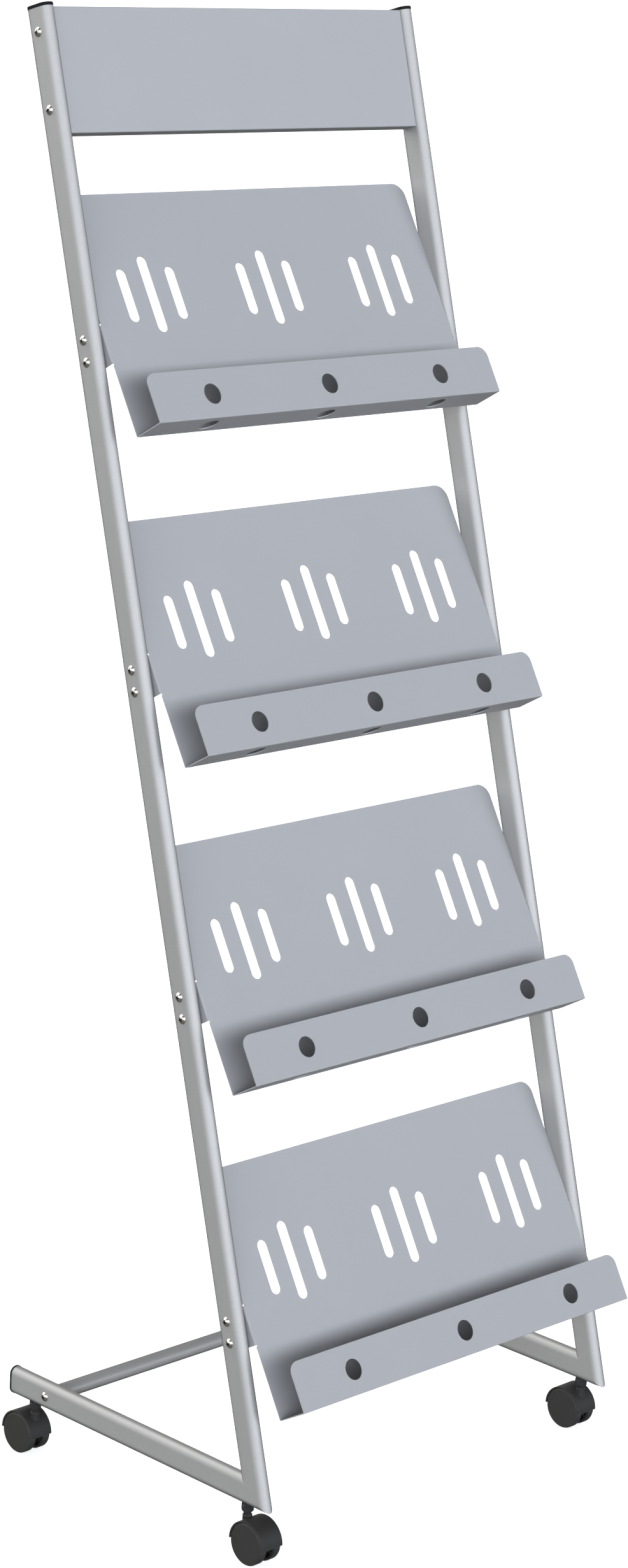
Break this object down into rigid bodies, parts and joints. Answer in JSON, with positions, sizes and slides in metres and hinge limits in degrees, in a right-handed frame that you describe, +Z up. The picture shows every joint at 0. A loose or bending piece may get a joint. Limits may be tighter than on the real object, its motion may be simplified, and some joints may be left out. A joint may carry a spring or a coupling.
{
  "type": "newspaper rack",
  "caption": "Tall mobile rack with two leaning flat-oval tube side frames on casters, tilted slotted sheet-metal trays with lips, and a plain header panel.",
  "frame": {"origin": "on the floor, under the middle of the rack's box", "axes": "+X to the reader's right, +Y to the rear, +Z up; the reader stands at -Y"},
  "size_m": [0.7014, 0.5954, 1.9931],
  "materials": {
    "tube_paint": "satin silver powder coat",
    "sheet_paint": "matt blue-grey powder coat",
    "bright_screw": "bright nickel",
    "zinc_steel": "zinc plated",
    "black_steel": "black oxide",
    "cap_plastic": "moulded black",
    "hood_plastic": "moulded black satin",
    "wheel_plastic": "moulded black satin"
  },
  "bodies": {
    "root": {"caster_front_left_socket": "black_steel", "caster_front_left_stem": "black_steel", "caster_front_right_socket": "black_steel", "caster_front_right_stem": "black_steel", "caster_rear_left_socket": "black_steel", "caster_rear_left_stem": "black_steel", "caster_rear_right_socket": "black_steel", "caster_rear_right_stem": "black_steel", "cross_bar": "tube_paint", "cross_bar_plugs": "zinc_steel", "cross_bar_screws": "bright_screw", "foot_cap_left": "cap_plastic", "foot_cap_right": "cap_plastic", "foot_rail_left": "tube_paint", "foot_rail_right": "tube_paint", "header_nuts": "zinc_steel", "header_panel": "sheet_paint", "header_screws": "bright_screw", "shelf_bottom": "sheet_paint", "shelf_bottom_nuts": "zinc_steel", "shelf_bottom_screws": "bright_screw", "shelf_lower": "sheet_paint", "shelf_lower_nuts": "zinc_steel", "shelf_lower_screws": "bright_screw", "shelf_top": "sheet_paint", "shelf_top_nuts": "zinc_steel", "shelf_top_screws": "bright_screw", "shelf_upper": "sheet_paint", "shelf_upper_nuts": "zinc_steel", "shelf_upper_screws": "bright_screw", "upright_cap_left": "cap_plastic", "upright_cap_right": "cap_plastic", "upright_left": "tube_paint", "upright_right": "tube_paint"},
    "swivel_front_left": {"caster_front_left_hood": "hood_plastic", "caster_front_left_axle": "zinc_steel"},
    "wheel_front_left_outer": {"caster_front_left_wheel_outer": "wheel_plastic"},
    "wheel_front_left_inner": {"caster_front_left_wheel_inner": "wheel_plastic"},
    "swivel_front_right": {"caster_front_right_hood": "hood_plastic", "caster_front_right_axle": "zinc_steel"},
    "wheel_front_right_outer": {"caster_front_right_wheel_outer": "wheel_plastic"},
    "wheel_front_right_inner": {"caster_front_right_wheel_inner": "wheel_plastic"},
    "swivel_rear_left": {"caster_rear_left_hood": "hood_plastic", "caster_rear_left_axle": "zinc_steel"},
    "wheel_rear_left_outer": {"caster_rear_left_wheel_outer": "wheel_plastic"},
    "wheel_rear_left_inner": {"caster_rear_left_wheel_inner": "wheel_plastic"},
    "swivel_rear_right": {"caster_rear_right_hood": "hood_plastic", "caster_rear_right_axle": "zinc_steel"},
    "wheel_rear_right_outer": {"caster_rear_right_wheel_outer": "wheel_plastic"},
    "wheel_rear_right_inner": {"caster_rear_right_wheel_inner": "wheel_plastic"}
  },
  "joints": [
    {"name": "front_left_swivel", "type": "hinge", "parent": "root", "child": "swivel_front_left", "pos_m": [-0.332, -0.21204, 0.0621], "axis": [0, 0, 1], "continuous": true},
    {"name": "front_left_outer_roll", "type": "hinge", "parent": "swivel_front_left", "child": "wheel_front_left_outer", "pos_m": [-0.332, -0.22944, 0.0288], "axis": [1, 0, 0], "continuous": true},
    {"name": "front_left_inner_roll", "type": "hinge", "parent": "swivel_front_left", "child": "wheel_front_left_inner", "pos_m": [-0.332, -0.22944, 0.0288], "axis": [1, 0, 0], "continuous": true},
    {"name": "front_right_swivel", "type": "hinge", "parent": "root", "child": "swivel_front_right", "pos_m": [0.332, -0.21204, 0.0621], "axis": [0, 0, 1], "continuous": true},
    {"name": "front_right_outer_roll", "type": "hinge", "parent": "swivel_front_right", "child": "wheel_front_right_outer", "pos_m": [0.332, -0.19464, 0.0288], "axis": [1, 0, 0], "continuous": true},
    {"name": "front_right_inner_roll", "type": "hinge", "parent": "swivel_front_right", "child": "wheel_front_right_inner", "pos_m": [0.332, -0.19464, 0.0288], "axis": [1, 0, 0], "continuous": true},
    {"name": "rear_left_swivel", "type": "hinge", "parent": "root", "child": "swivel_rear_left", "pos_m": [-0.332, 0.21937, 0.0621], "axis": [0, 0, 1], "continuous": true},
    {"name": "rear_left_outer_roll", "type": "hinge", "parent": "swivel_rear_left", "child": "wheel_rear_left_outer", "pos_m": [-0.332, 0.23677, 0.0288], "axis": [1, 0, 0], "continuous": true},
    {"name": "rear_left_inner_roll", "type": "hinge", "parent": "swivel_rear_left", "child": "wheel_rear_left_inner", "pos_m": [-0.332, 0.23677, 0.0288], "axis": [1, 0, 0], "continuous": true},
    {"name": "rear_right_swivel", "type": "hinge", "parent": "root", "child": "swivel_rear_right", "pos_m": [0.332, 0.21937, 0.0621], "axis": [0, 0, 1], "continuous": true},
    {"name": "rear_right_outer_roll", "type": "hinge", "parent": "swivel_rear_right", "child": "wheel_rear_right_outer", "pos_m": [0.332, 0.23677, 0.0288], "axis": [1, 0, 0], "continuous": true},
    {"name": "rear_right_inner_roll", "type": "hinge", "parent": "swivel_rear_right", "child": "wheel_rear_right_inner", "pos_m": [0.332, 0.23677, 0.0288], "axis": [1, 0, 0], "continuous": true}
  ]
}
